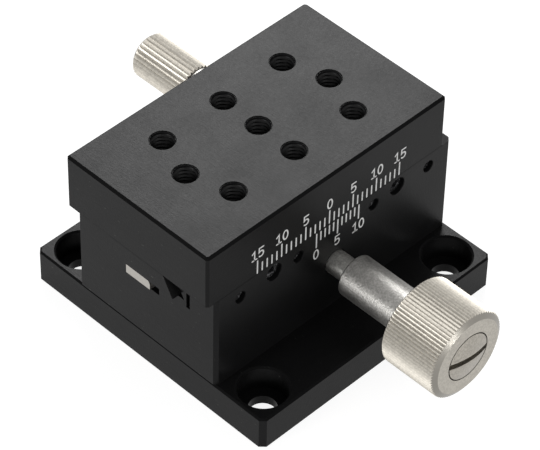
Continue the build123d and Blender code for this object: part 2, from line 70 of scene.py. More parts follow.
MM = 0.001
SIDEBAR_TAB = "Stage"
MOUNTS = {mount["name"]: mount for mount in frame["record"]["mounts"]}
BODY_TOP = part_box("guide_body")[1].z
TABLE_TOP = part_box("table")[1].z
TABLE_CENTRE_X = sum(corner.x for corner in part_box("table")) / 2
FRONT_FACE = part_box("table")[0].y
STREAK_STRETCH = (1, 0.09, 0.3)  # the dye's streaks run across the travel
FEED_STRETCH = (0.04, 1, 1)  # a cutter's feed marks run along the travel
CAP_ANGLES = (75, 50, 25)  # steps round the end of a stroke, in degrees
RING_STEPS = 24  # corners round a closed digit
LAMPS = ("key", "fill", "side", "glint")


# ---------------------------------------------------------------- sizes and colours


def length(name, description, millimetres):
    """A length setting, given in millimetres."""
    return FloatProperty(name=name, description=description, default=millimetres * MM,
                         precision=5, unit="LENGTH")


def angle(name, description, degrees):
    """An angle setting, given in degrees."""
    return FloatProperty(name=name, description=description, default=math.radians(degrees),
                         unit="ROTATION")


def position(name, description, millimetres):
    """A point setting, given in millimetres."""
    return FloatVectorProperty(name=name, description=description, size=3, unit="LENGTH",
                               subtype="TRANSLATION", default=[part * MM for part in millimetres])


def power(name, description, watts):
    """A lamp's power."""
    return FloatProperty(name=name, description=description, default=watts, min=0.0, unit="POWER")


def share(name, description, value):
    """A setting from 0 to 1."""
    return FloatProperty(name=name, description=description, default=value, min=0.0, max=1.0,
                         subtype="FACTOR")


def colour(name, description, value):
    """A linear colour setting."""
    return FloatVectorProperty(name=name, description=description, default=value, size=3,
                               min=0.0, max=1.0, subtype="COLOR")


class MarkSettings(bpy.types.PropertyGroup):
    """The engraved divisions and numbers."""

    scale_pitch: length("Scale pitch", "One division of the main scale", 1.0)
    vernier_pitch: length("Vernier pitch", "One division of the vernier", 0.9)
    scale_reach: IntProperty(name="Scale reach", description="Divisions each side of zero",
                             default=15)
    vernier_divisions: IntProperty(name="Vernier divisions", description="Divisions in all",
                                   default=10)
    numbered_every: IntProperty(name="Numbered every", default=5,
                                description="Divisions from one number to the next")
    edge_gap: length("Edge gap", "From the sliding joint to the near end of a mark", 0.1)
    vernier_edge_gap: length("Vernier edge gap", "From the body's edge to a vernier mark", 0.25)
    long_mark: length("Long mark", "Height of a numbered mark", 2.75)
    short_mark: length("Short mark", "Height of the other marks", 1.9)
    vernier_long_mark: length("Vernier long mark", "Height of a numbered vernier mark", 3.0)
    scale_shift: length("Scale shift", "Zero of the main scale, from the table's middle", 0.14)
    vernier_shift: length("Vernier shift", "Middle of the vernier, from the drive axis", 0.21)
    stroke: length("Stroke", "Width of the cutter's stroke", 0.27)
    number_gap: length("Number gap", "From a mark to its number", 0.32)
    number_height: length("Number height", "Height of a digit between stroke centres", 1.75)
    digit_step: length("Digit step", "From one digit to the next", 1.42)
    proud: length("Proud", "How far the filled engraving stands proud", 0.008)
    sunk: length("Sunk", "How deep the filled engraving goes", 0.04)
    fill: colour("Fill", "Colour of the filled engraving", (0.82, 0.82, 0.80))


class ThreadSettings(bpy.types.PropertyGroup):
    """The screw threads in the table's holes."""

    pitch: length("Pitch", "Height of one turn", 0.7)
    crest_radius: length("Crest radius", "Radius at the crests", 1.66)
    wall_gap: length("Wall gap", "From the thread's root to the drilled wall", 0.03)
    mouth: length("Mouth", "From the table's top to the first turn", 0.13)
    depth: length("Depth", "Where the last turn ends", 7.8)
    facets: IntProperty(name="Facets", description="Steps round one turn", default=40)
    steps: IntProperty(name="Steps", description="Steps up one turn", default=6)


class AnodisingSettings(bpy.types.PropertyGroup):
    """The black dye on the blocks and the blasted surface under it."""

    dye: colour("Dye", "Dyed aluminium", (0.0052, 0.0052, 0.0054))
    speck: colour("Speck", "Pale specks in the dye", (0.06, 0.06, 0.055))
    thread: colour("Thread", "Dyed aluminium in the tapped holes", (0.009, 0.009, 0.0093))
    sheen: share("Sheen", "Specular level of the faces", 0.075)
    thread_sheen: share("Thread sheen", "Specular level in the tapped holes", 0.13)
    roughness: share("Roughness", "Least roughness of the faces", 0.26)
    mottle_roughness: share("Mottle roughness", "Roughness added by the mottles", 0.12)
    cloud_roughness: share("Cloud roughness", "Roughness added by the clouds", 0.10)
    edge_roughness: share("Edge roughness", "Roughness added on the chamfers", 0.5)
    # Painted shade: how far the chamfers are darkened in colour.
    edge_darkening: share("Edge darkening", "How far the chamfers darken", 0.65)
    # Painted shadow: how dark the band at the sliding joint is, beside the chamfers' painted shade.
    joint_darkening: share("Joint darkening", "Darkness of the sliding joint beside a chamfer's", 0.25)
    cloud: length("Cloud", "Size of the wide clouds in the dye", 6.0)
    mottle: length("Mottle", "Size of the mottles in the dye", 0.45)
    grain: length("Grain", "Size of the blasted grain", 0.26)
    streak: length("Streak", "Width of the streaks", 0.22)
    speck_size: length("Speck size", "Width of the pale specks", 0.09)
    relief: length("Relief", "Depth of the grain and the streaks", 0.034)
    # Half heights of the painted shadow along the sliding joint.
    joint_core: length("Joint core", "Half height of the darkest part of the joint", 0.05)
    joint_reach: length("Joint reach", "Half height of the dark band at the joint", 0.22)


class MetalSettings(bpy.types.PropertyGroup):
    """The colours of the metals and the plastic, and the marks of the tools."""

    black_steel: colour("Black steel", "Blackened screws", (0.045, 0.045, 0.047))
    steel: colour("Steel", "Turned steel", (0.31, 0.302, 0.287))
    # Painted light: a brighter copy of the steel, for lamp light that the body blocks from the shaft.
    shaft_steel: colour("Shaft steel", "Ground steel of the shaft and pinion", (0.56, 0.55, 0.52))
    rack_steel: colour("Rack steel", "Machined rack", (0.37, 0.352, 0.325))
    nickel: colour("Nickel", "Satin nickel plate", (0.45, 0.425, 0.378))
    # Painted light: a brighter copy of the nickel, for the clamp knob that sits near the key lamp.
    clamp_nickel: colour("Clamp nickel", "Brighter plate on the clamp knob", (0.51, 0.482, 0.43))
    screw_nickel: colour("Screw nickel", "Duller plate on the slotted screw", (0.31, 0.29, 0.255))
    brass: colour("Brass", "Turned bearings", (0.66, 0.47, 0.20))
    bronze: colour("Spring bronze", "Stamped washer", (0.52, 0.34, 0.18))
    plastic: colour("White plastic", "Thrust washer", (0.80, 0.80, 0.77))
    ring: length("Ring", "Width of the rings left by the lathe", 0.11)
    ring_lead: FloatProperty(name="Ring lead", default=1.7,
                             description="How fast the rings go by along the axis, beside outward")
    mottle: length("Mottle", "Size of the mottles on turned metal", 0.8)
    grain: length("Grain", "Size of the grain on turned metal", 0.30)
    mottle_roughness: share("Mottle roughness", "Roughness added by the mottles", 0.10)
    grain_roughness: share("Grain roughness", "Roughness added by the grain", 0.04)
    fine_marks: length("Fine marks", "Depth of the marks on plated and polished metal", 0.003)
    washer_marks: length("Washer marks", "Depth of the marks on the stamped washer", 0.002)
    shaft_marks: length("Shaft marks", "Depth of the marks on the shaft", 0.015)
    sleeve_marks: length("Sleeve marks", "Depth of the marks on the sleeves", 0.030)
    knurl_depth: length("Knurl depth", "Depth of the drive knob's knurl", 0.25)
    rib_depth: length("Rib depth", "Depth of the clamp knob's grooves", 0.35)
    # Painted shade: how far the floors of the grooves and the knobs' end faces are darkened.
    groove_darkening: share("Groove darkening", "How far the floors of the grooves darken", 0.38)
    face_darkening: share("Face darkening", "How far the end faces of a knob darken", 0.3)
    chamfer_gloss: share("Chamfer gloss", "Roughness that a knob's chamfer loses", 0.16)


class StudioSettings(bpy.types.PropertyGroup):
    """The lamps, the floor and the camera."""

    key_power: power("Key power", "Lamp above and behind", 2.30)
    key_size: length("Key size", "Side of the key lamp", 200)
    key_place: position("Key place", "Centre of the key lamp", (270, 270, 360))
    fill_power: power("Fill power", "Lamp at the front left", 0.40)
    fill_size: length("Fill size", "Side of the fill lamp", 240)
    fill_place: position("Fill place", "Centre of the fill lamp", (-110, -420, 220))
    side_power: power("Side power", "Low lamp at the left", 1.10)
    side_size: length("Side size", "Side of the side lamp", 100)
    side_place: position("Side place", "Centre of the side lamp", (-460, 45, 90))
    glint_power: power("Glint power", "Small lamp in front", 0.48)
    glint_size: length("Glint size", "Side of the glint lamp", 60)
    glint_place: position("Glint place", "Centre of the glint lamp", (40, -500, 20))
    ambient: share("Ambient", "World light on the stage", 0.44)
    floor_reach: length("Floor reach", "Half the side of the floor", 2500)
    floor_gap: length("Floor gap", "From the base plate down to the floor", 0.02)
    floor_glow: share("Floor glow", "Part of the floor's white that no shadow dims", 0.88)
    floor_white: share("Floor white", "Floor colour under the lamps", 0.25)
    azimuth: angle("Azimuth", "Camera's turn from the front towards the left", 45.754)
    elevation: angle("Elevation", "Camera's height above the horizon", 44.787)
    roll: angle("Roll", "Camera's turn about its own axis", 1.343)
    distance: length("Distance", "From the camera to the point it looks at", 480.745)
    aim_height: length("Aim height", "Height of the point at the middle of the turn", 10.0)
    aim_right: length("Aim right", "Sideways offset of the view", 0.835)
    aim_up: length("Aim up", "Upward offset of the view", 1.356)
    lens: FloatProperty(name="Lens", description="Focal length in millimetres", default=207.92)


# ---------------------------------------------------------------- shader building


class Field:
    """A socket in a finish. Arithmetic on it adds Math nodes."""

    def __init__(self, finish, socket):
        self.finish = finish
        self.socket = socket

    def combine(self, operation, first, second):
        return self.finish.node("ShaderNodeMath", {"operation": operation}, {0: first, 1: second})

    def __add__(self, other):
        return self.combine("ADD", self, other)

    __radd__ = __add__

    def __sub__(self, other):
        return self.combine("SUBTRACT", self, other)

    def __rsub__(self, other):
        return self.combine("SUBTRACT", other, self)

    def __mul__(self, other):
        return self.combine("MULTIPLY", self, other)

    __rmul__ = __mul__


class Finish:
    """A node tree that ends in one shader, built one node at a time."""

    def __init__(self, owner, shader_kind, output_kind, constants):
        owner.use_nodes = True
        self.owner = owner
        self.nodes = owner.node_tree.nodes
        self.links = owner.node_tree.links
        self.nodes.clear()
        self.shader = self.nodes.new(shader_kind)
        output = self.nodes.new(output_kind)
        self.links.new(self.shader.outputs[0], output.inputs["Surface"])
        self.feed(constants)

    def feed(self, inputs, node=None):
        """Sets or links sockets of a node, or of the shader itself."""
        for name, value in inputs.items():
            socket = (node or self.shader).inputs[name]
            if isinstance(value, Field):
                self.links.new(value.socket, socket)
            else:
                socket.default_value = value

    def node(self, kind, settings, inputs, output=0):
        """Adds a node: its settings first, then its sockets. Gives one of its outputs."""
        node = self.nodes.new(kind)
        for name, value in settings.items():
            setattr(node, name, value)
        self.feed(inputs, node)
        return Field(self, node.outputs[output])

    def place(self):
        """Position in the frame of the solids."""
        return self.node("ShaderNodeTexCoord", {}, {}, "Object")

    def vector(self, operation, first, second):
        """One step of vector arithmetic."""
        return self.node("ShaderNodeVectorMath", {"operation": operation}, {0: first, 1: second})

    def part(self, vector, axis):
        """One coordinate of a vector, by the letter of its axis."""
        return self.node("ShaderNodeSeparateXYZ", {}, {0: vector}, axis)

    def facing(self, axis):
        """1 on faces that look along an axis, 0 on those across it."""
        lean = self.part(self.node("ShaderNodeTexCoord", {}, {}, "Normal"), axis)
        return lean * lean

    def noise(self, vector, grain, detail):
        """Soft noise whose blotches are about one grain across, from 0 to 1."""
        inputs = {"Vector": vector, "Scale": 1 / grain, "Detail": detail}
        return self.node("ShaderNodeTexNoise", {}, inputs)

    def step(self, field, low, high):
        """0 below low, 1 above high and smooth between."""
        settings = {"interpolation_type": "SMOOTHSTEP"}
        return self.node("ShaderNodeMapRange", settings, {0: field, 1: low, 2: high})

    def blend(self, factor, first, second):
        """A colour from the first to the second as the factor goes from 0 to 1."""
        inputs = {"Factor": factor, 6: first, 7: second}
        return self.node("ShaderNodeMix", {"data_type": "RGBA"}, inputs, 2)

    def vary(self, tone, base, dark, light):
        """The base colour times dark where the tone is 0, up to times light where it is 1."""
        return self.blend(tone, shade(base, dark), shade(base, light))

    def bump(self, height, depth, strength):
        """Feeds the shader's Normal with a height field, depth metres high."""
        inputs = {"Height": height, "Distance": depth, "Strength": strength}
        self.feed({"Normal": self.node("ShaderNodeBump", {}, inputs)})


def average(first, second, weight=0.5):
    """Two fields mixed, by the second one's weight."""
    return first * (1 - weight) + second * weight


def rough(field, least, spread):
    """A roughness that goes up from the least with a field."""
    return least + spread * field


def shade(base, factor=1.0):
    """A colour with alpha, the base made lighter or darker."""
    return (*(min(1.0, part * factor) for part in base), 1.0)


def grey(level):
    """A grey with alpha."""
    return (level, level, level, 1.0)


def new_finish(name, constants):
    """A new material with a Principled shader."""
    material = bpy.data.materials.new(name)
    return Finish(material, "ShaderNodeBsdfPrincipled", "ShaderNodeOutputMaterial", constants)


def paint(material, *nodes):
    """Gives solids their finish."""
    for name in nodes:
        frame["nodes"][name].material_slots[0].material = material


# ---------------------------------------------------------------- finishes


def anodised_finish(settings):
    """Matte black anodised aluminium: a mottled dye, fine blasted grain and pale specks, with painted shade
    on the chamfers and a painted shadow along the sliding joint.
    """
    finish = new_finish("black_anodised_finish", {"Specular IOR Level": settings.sheen})
    place = finish.place()
    cloud = finish.noise(place, grain=settings.cloud, detail=3.0)
    mottle = finish.noise(place, grain=settings.mottle, detail=3.0)
    grain = finish.noise(place, grain=settings.grain, detail=2.0)
    drawn = finish.vector("MULTIPLY", place, STREAK_STRETCH)
    streaks = finish.noise(drawn, grain=settings.streak, detail=3.0)
    specks = finish.step(finish.noise(drawn, grain=settings.speck_size, detail=1.0), low=0.74, high=0.82)
    # Painted shade: the chamfers, found by how far they lean from up, are darkened in colour.
    upward = finish.facing("Z")
    chamfer = finish.step(upward * (1 - upward), low=0.16, high=0.24)
    # Painted shadow: a dark band round the height of the body's top, where the table meets the body.
    from_joint = finish.part(place, "Z") - BODY_TOP
    joint = 1 - finish.step(from_joint * from_joint, low=settings.joint_core ** 2,
                            high=settings.joint_reach ** 2)
    edge_and_joint_shade = chamfer + settings.joint_darkening * joint
    dye = finish.vary(average(cloud, mottle, weight=0.6), settings.dye, dark=0.80, light=1.22)
    dye = finish.blend(specks, dye, shade(settings.speck))
    # Painted shade on the chamfers and painted shadow at the sliding joint, mixed into the dye's colour.
    dye = finish.blend(edge_and_joint_shade * settings.edge_darkening, dye, shade(settings.dye, 0.25))
    roughness = rough(mottle, least=settings.roughness, spread=settings.mottle_roughness)
    roughness += settings.cloud_roughness * cloud + settings.edge_roughness * edge_and_joint_shade
    finish.feed({"Base Color": dye, "Roughness": roughness})
    finish.bump(average(grain, streaks, weight=0.4), depth=settings.relief, strength=0.8)
    return finish.owner


def thread_finish(settings):
    """Dyed aluminium freshly cut by a tap, a little glossier than the faces."""
    finish = new_finish("thread_finish", {"Specular IOR Level": settings.thread_sheen})
    mottle = finish.noise(finish.place(), grain=0.3 * MM, detail=3.0)
    finish.feed({"Base Color": finish.vary(mottle, settings.thread, dark=0.7, light=1.4),
                 "Roughness": rough(mottle, least=0.24, spread=0.16)})
    finish.bump(mottle, depth=0.006 * MM, strength=0.5)
    return finish.owner


def turned_finish(name, settings, base, box, roughness, mottling, marks, groove_depth=0.0):
    """Turned metal about an axis along Y: rings left by the tool and a mottled sheen.

    With a groove depth, the grooves' floors and the ends' faces and chamfers get painted shade too.
    """
    finish = new_finish(name, {"Metallic": 1.0})
    low, high = box
    axis = ((low.x + high.x) / 2, 0, (low.z + high.z) / 2)
    crest = (high.x - low.x) / 2
    place = finish.place()
    across = finish.vector("MULTIPLY", finish.vector("SUBTRACT", place, axis), (1, 0, 1))
    radius = finish.node("ShaderNodeVectorMath", {"operation": "LENGTH"}, {0: across}, "Value")
    rings = radius + settings.ring_lead * finish.part(place, "Y")
    lathe = finish.node("ShaderNodeTexNoise", {"noise_dimensions": "1D"},
                        {"W": rings, "Scale": 1 / settings.ring, "Detail": 2.0})
    mottle = finish.noise(place, grain=settings.mottle, detail=4.0)
    grain = finish.step(finish.noise(place, grain=settings.grain, detail=3.0), low=0.35, high=0.65)
    tone = average(lathe, average(mottle, grain), weight=mottling)
    metal = finish.vary(tone, base, dark=0.66, light=1.34)
    sheen = rough(mottle, least=roughness, spread=settings.mottle_roughness)
    sheen += settings.grain_roughness * grain
    if groove_depth:
        flat = finish.facing("Y")
        # Painted shade: the floors of the grooves darken, as shade falls in them.
        groove = (1 - flat) * (1 - finish.step(radius, low=crest - groove_depth, high=crest))
        # Painted shade: the end faces, which look along the axis, are darkened in colour as well.
        darkening = groove * settings.groove_darkening + flat * settings.face_darkening
        metal = finish.blend(darkening, metal, shade(base, 0.45))
        # Painted shade: the chamfers between the end faces and the sides are darkened in colour, standing in
        # for a dark reflection; their lower roughness is the turned finish.
        chamfer = finish.step(flat * (1 - flat), low=0.10, high=0.15)
        metal = finish.blend(chamfer, metal, shade(base, 0.52))
        sheen -= settings.chamfer_gloss * chamfer
    finish.feed({"Base Color": metal, "Roughness": sheen})
    finish.bump(average(lathe, grain), depth=marks, strength=0.7)
    return finish.owner


def machined_finish(name, base):
    """Flat milled metal: long feed marks along X, and a mottled sheen."""
    finish = new_finish(name, {"Metallic": 1.0})
    place = finish.place()
    stretched = finish.vector("MULTIPLY", place, FEED_STRETCH)
    feed_marks = finish.noise(stretched, grain=0.09 * MM, detail=2.0)
    mottle = finish.noise(place, grain=0.7 * MM, detail=3.0)
    finish.feed({"Base Color": finish.vary(average(feed_marks, mottle), base, dark=0.80, light=1.15),
                 "Roughness": rough(mottle, least=0.24, spread=0.12)})
    finish.bump(feed_marks, depth=0.004 * MM, strength=0.5)
    return finish.owner


def black_steel_finish(settings):
    """Blackened steel: dark oxide that is rubbed thin in places and shines a little."""
    finish = new_finish("black_steel_finish", {"Metallic": 0.55, "Specular IOR Level": 0.5})
    place = finish.place()
    mottle = finish.noise(place, grain=0.35 * MM, detail=4.0)
    pits = finish.noise(place, grain=0.08 * MM, detail=2.0)
    rubbed = finish.step(mottle, low=0.50, high=0.66)
    finish.feed({"Base Color": finish.vary(rubbed, settings.black_steel, dark=0.9, light=5.0),
                 "Roughness": rough(mottle, least=0.20, spread=0.14)})
    finish.bump(pits, depth=0.006 * MM, strength=0.5)
    return finish.owner


def plastic_finish(settings):
    """Off-white plastic with a faint moulded grain."""
    finish = new_finish("white_plastic_finish", {})
    mottle = finish.noise(finish.place(), grain=0.5 * MM, detail=3.0)
    finish.feed({"Base Color": finish.vary(mottle, settings.plastic, dark=0.93, light=1.04),
                 "Roughness": rough(mottle, least=0.42, spread=0.12)})
    finish.bump(mottle, depth=0.006 * MM, strength=0.5)
    return finish.owner


def engraving_finish(settings):
    """The pale filling of the engraved marks, rough and a little uneven."""
    finish = new_finish("engraving_finish", {"Specular IOR Level": 0.25})
    place = finish.place()
    uneven = finish.noise(place, grain=0.55 * MM, detail=3.0)
    grit = finish.noise(place, grain=0.07 * MM, detail=2.0)
    tone = average(uneven, grit, weight=0.3)
    finish.feed({"Base Color": finish.vary(tone, settings.fill, dark=0.62, light=1.35),
                 "Roughness": rough(grit, least=0.55, spread=0.25)})
    finish.bump(grit, depth=0.008 * MM, strength=0.6)
    return finish.owner


# ---------------------------------------------------------------- meshes


def new_piece(name, mesh, material, body):
    """Puts a finished bmesh into the scene as a piece that rides on a body."""
    data = bpy.data.meshes.new(name)
    bmesh.ops.recalc_face_normals(mesh, faces=mesh.faces)
    mesh.to_mesh(data)
    mesh.free()
    data.materials.append(material)
    piece = bpy.data.objects.new(name, data)
    bpy.context.scene.collection.objects.link(piece)
    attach(piece, body)
    return piece


def rounded_path(path, half_width):
    """Centres, directions across and half widths along a stroke with round ends."""
    sections = []
    count = len(path)
    for index, point in enumerate(path):
        before = (point - path[index - 1]).normalized() if index else None
        after = (path[index + 1] - point).normalized() if index < count - 1 else None
        forward = ((before or after) + (after or before)).normalized()
        mitre = forward.dot(after or before)
        sections.append((point, forward.orthogonal(), half_width / max(mitre, 0.5)))
    return round_end(sections[0], half_width, 1) + sections + round_end(sections[-1], half_width, -1)


def round_end(section, half_width, sense):
    """Sections that round off a stroke: before its first one by 1, after its last one by -1."""
    centre, across, _ = section
    backward = Vector((-across.y, across.x))
    cap = []
    for degrees in CAP_ANGLES[::sense]:
        out = half_width * math.sin(math.radians(degrees)) * sense
        cap.append((centre + backward * out, across, half_width * math.cos(math.radians(degrees))))
    return cap


def add_stroke(mesh, path, settings, place, closed=False):
    """A filled groove along a path of (x, z) points, on a face that looks to -Y."""
    half_width = settings.stroke / 2
    if closed:
        sections = []
        for index, point in enumerate(path):
            forward = (path[(index + 1) % len(path)] - path[index - 1]).normalized()
            sections.append((point, forward.orthogonal(), half_width))
    else:
        sections = rounded_path(path, half_width)
    rings = []
    for centre, across, half in sections:
        ring = []
        for side, level in ((-1, FRONT_FACE - settings.proud), (1, FRONT_FACE - settings.proud),
                            (1, FRONT_FACE + settings.sunk), (-1, FRONT_FACE + settings.sunk)):
            spot = place + centre + across * (half * side)
            ring.append(mesh.verts.new((spot.x, level, spot.y)))
        rings.append(ring)
    pairs = list(zip(rings, rings[1:]))
    if closed:
        pairs.append((rings[-1], rings[0]))
    for near, far in pairs:
        for corner in range(4):
            following = (corner + 1) % 4
            mesh.faces.new((near[corner], near[following], far[following], far[corner]))
    if not closed:
        mesh.faces.new(rings[0])
        mesh.faces.new(rings[-1])


def arc_points(centre, radius_x, radius_z, start, sweep, steps):
    """Points on an ellipse, by angles in degrees."""
    points = []
    for step in range(steps + 1):
        turn = math.radians(start + sweep * step / steps)
        across, up = radius_x * math.cos(turn), radius_z * math.sin(turn)
        points.append(Vector((centre[0] + across, centre[1] + up)))
    return points


def digit_strokes(digit):
    """Strokes of a digit one unit high about its middle, each with whether it closes."""
    if digit == "0":
        last = RING_STEPS - 1
        return [(arc_points((0, 0), 0.27, 0.5, 0, 360 * last / RING_STEPS, last), True)]
    if digit == "1":
        stem = [Vector((0.05, -0.5)), Vector((0.05, 0.5)), Vector((-0.22, 0.27))]
        foot = [Vector((-0.22, -0.5)), Vector((0.30, -0.5))]
        return [(stem, False), (foot, False)]
    if digit == "5":
        bowl = arc_points((-0.02, -0.19), 0.29, 0.31, 118, -250, 16)
        flag = [Vector((0.26, 0.5)), Vector((-0.22, 0.5)), Vector((-0.24, 0.02))]
        return [(flag + bowl[1:], False)]
    raise ValueError(f"no strokes for {digit}")


def add_number(mesh, number, settings, middle_x, middle_z):
    """A number centred at a place on the face."""
    digits = str(number)
    first = middle_x - settings.digit_step * (len(digits) - 1) / 2
    for index, digit in enumerate(digits):
        place = Vector((first + settings.digit_step * index, middle_z))
        for stroke, closed in digit_strokes(digit):
            path = [point * settings.number_height for point in stroke]
            add_stroke(mesh, path, settings, place, closed)


def add_divisions(mesh, places, settings, long_mark, edge, direction):
    """Marks from an edge, up or down by direction, long and numbered where places say so."""
    for x, number in places:
        height = settings.short_mark if number is None else long_mark
        inset = settings.stroke / 2
        path = [Vector((0, direction * inset)), Vector((0, direction * (height - inset)))]
        add_stroke(mesh, path, settings, Vector((x, edge)))
        if number is not None:
            middle = height + settings.number_gap + settings.number_height / 2 + inset
            add_number(mesh, number, settings, x, edge + direction * middle)


def hole_places():
    """Centres of the table's tapped holes, from the mounts."""
    places = []
    for mount in MOUNTS.values():
        if not mount["name"].startswith("table_") or mount["kind"] == "flat_face":
            continue
        centre = Vector(mount["pos_m"]).xy
        half_x = mount["dims"].get("spacing_x_mm", 0.0) * MM / 2
        half_y = mount["dims"].get("spacing_y_mm", 0.0) * MM / 2
        for x in sorted({-half_x, half_x}):
            for y in sorted({-half_y, half_y}):
                places.append(centre + Vector((x, y)))
    return places


def add_thread(mesh, place, root_radius, settings):
    """A closed lining with a helical thread on its inside."""
    top = TABLE_TOP - settings.mouth
    rows = round((settings.depth - settings.mouth) / settings.pitch * settings.steps)
    drop = (settings.depth - settings.mouth) / rows
    inner, outer = [], []
    for row in range(rows + 1):
        z = top - drop * row
        ring = []
        for facet in range(settings.facets):
            turn = facet / settings.facets
            phase = (z / settings.pitch + turn) % 1.0
            lead_in = min(1.0, drop * row / settings.pitch)
            height = lead_in * (1 - abs(2 * phase - 1))
            radius = root_radius + (settings.crest_radius - root_radius) * height
            heading = Vector((math.cos(2 * math.pi * turn), math.sin(2 * math.pi * turn)))
            spot = place + heading * radius
            ring.append(mesh.verts.new((spot.x, spot.y, z)))
            if row in (0, rows):
                spot = place + heading * (root_radius + settings.wall_gap / 2)
                outer.append(mesh.verts.new((spot.x, spot.y, z)))
        inner.append(ring)
    rims = [outer[:settings.facets], *inner, outer[settings.facets:]]
    rims.append(rims[0])
    for upper, lower in zip(rims, rims[1:]):
        for facet in range(settings.facets):
            following = (facet + 1) % settings.facets
            mesh.faces.new((upper[facet], upper[following], lower[following], lower[facet]))


# ---------------------------------------------------------------- operators


class STAGE_OT_blocks(bpy.types.Operator):
    """Finish the base plate, the guide body and the table in black anodising"""

    bl_idname = "stage.blocks"
    bl_label = "Anodise Blocks"

    def execute(self, context):
        paint(anodised_finish(context.scene.stage_anodising), "base_plate", "guide_body", "table")
        return {"FINISHED"}


class STAGE_OT_threads(bpy.types.Operator):
    """Cut screw threads into the table's holes"""

    bl_idname = "stage.threads"
    bl_label = "Cut Threads"

    def execute(self, context):
        settings = context.scene.stage_threads
        bore = MOUNTS["table_centre_hole"]["dims"]["r_mm"] * MM
        mesh = bmesh.new()
        for place in hole_places():
            add_thread(mesh, place, bore - settings.wall_gap, settings)
        finish = thread_finish(context.scene.stage_anodising)
        new_piece("table_threads", mesh, finish, "table")
        return {"FINISHED"}


class STAGE_OT_scale(bpy.types.Operator):
    """Engrave the main scale and its numbers on the table's front"""

    bl_idname = "stage.scale"
    bl_label = "Engrave Scale"

    def execute(self, context):
        settings = context.scene.stage_marks
        places = []
        for division in range(-settings.scale_reach, settings.scale_reach + 1):
            number = None if division % settings.numbered_every else abs(division)
            x = TABLE_CENTRE_X + settings.scale_shift + division * settings.scale_pitch
            places.append((x, number))
        mesh = bmesh.new()
        add_divisions(mesh, places, settings, settings.long_mark, BODY_TOP + settings.edge_gap, 1)
        new_piece("scale_marks", mesh, engraving_finish(settings), "table")
        return {"FINISHED"}


class STAGE_OT_vernier(bpy.types.Operator):
    """Engrave the vernier and its numbers on the guide body's front"""

    bl_idname = "stage.vernier"
    bl_label = "Engrave Vernier"

    def execute(self, context):
        settings = context.scene.stage_marks
        places = []
        for division in range(settings.vernier_divisions + 1):
            number = None if division % settings.numbered_every else division
            offset = division - settings.vernier_divisions / 2
            places.append((settings.vernier_shift + offset * settings.vernier_pitch, number))
        mesh = bmesh.new()
        edge = BODY_TOP - settings.vernier_edge_gap
        add_divisions(mesh, places, settings, settings.vernier_long_mark, edge, -1)
        new_piece("vernier_marks", mesh, engraving_finish(settings), "base")
        return {"FINISHED"}


class STAGE_OT_drive_knob(bpy.types.Operator):
    """Finish the drive knob, its slotted screw, its sleeve and the shaft"""

    bl_idname = "stage.drive_knob"
    bl_label = "Finish Drive Knob"

    def execute(self, context):
        settings = context.scene.stage_metals
        knob = turned_finish("knob_nickel", settings, settings.nickel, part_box("drive_knob"), roughness=0.45,
                             mottling=0.75, marks=settings.fine_marks, groove_depth=settings.knurl_depth)
        screw = turned_finish("screw_nickel", settings, settings.screw_nickel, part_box("knob_screw"),
                              roughness=0.33, mottling=0.85, marks=settings.fine_marks)
        sleeve = turned_finish("sleeve_steel", settings, settings.steel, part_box("drive_sleeve"),
                               roughness=0.35, mottling=0.85, marks=settings.sleeve_marks)
        # Painted light: the shaft, pinion and pin take the brighter copy of the steel.
        shaft = turned_finish("shaft_steel", settings, settings.shaft_steel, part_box("drive_shaft"),
                              roughness=0.31, mottling=0.85, marks=settings.shaft_marks)
        paint(knob, "drive_knob")
        paint(screw, "knob_screw")
        paint(sleeve, "drive_sleeve")
        paint(shaft, "drive_shaft", "pinion", "pinion_pin")
        return {"FINISHED"}


class STAGE_OT_clamp_knob(bpy.types.Operator):
    """Finish the clamp knob, its sleeve, its screw and the pad"""

    bl_idname = "stage.clamp_knob"
    bl_label = "Finish Clamp Knob"

    def execute(self, context):
        settings = context.scene.stage_metals
        # Painted light: the clamp knob takes the brighter copy of the nickel.
        knob = turned_finish("clamp_nickel", settings, settings.clamp_nickel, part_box("clamp_knob"),
                             roughness=0.49, mottling=0.75, marks=settings.fine_marks,
                             groove_depth=settings.rib_depth)
        sleeve = turned_finish("clamp_steel", settings, settings.steel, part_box("clamp_sleeve"),
                               roughness=0.35, mottling=0.85, marks=settings.sleeve_marks)
        pad = turned_finish("clamp_brass", settings, settings.brass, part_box("clamp_pad"),
                            roughness=0.23, mottling=0.6, marks=settings.fine_marks)
        paint(knob, "clamp_knob")
        paint(sleeve, "clamp_sleeve", "clamp_screw")
        paint(pad, "clamp_pad")
        return {"FINISHED"}


class STAGE_OT_rack(bpy.types.Operator):
    """Finish the rack in machined steel"""

    bl_idname = "stage.rack"
    bl_label = "Finish Rack"

    def execute(self, context):
        paint(machined_finish("rack_steel", context.scene.stage_metals.rack_steel), "rack")
        return {"FINISHED"}


class STAGE_OT_screws(bpy.types.Operator):
    """Finish the screws in blackened steel, and the pins in plain steel"""

    bl_idname = "stage.screws"
    bl_label = "Finish Screws and Pins"

    def execute(self, context):
        settings = context.scene.stage_metals
        paint(black_steel_finish(settings), "base_screws", "jaw_screws_small", "jaw_screws_large",
              "sleeve_screw", "rack_screws")
        paint(machined_finish("pin_steel", settings.steel), "dowel_pins", "stop_pin")
        return {"FINISHED"}


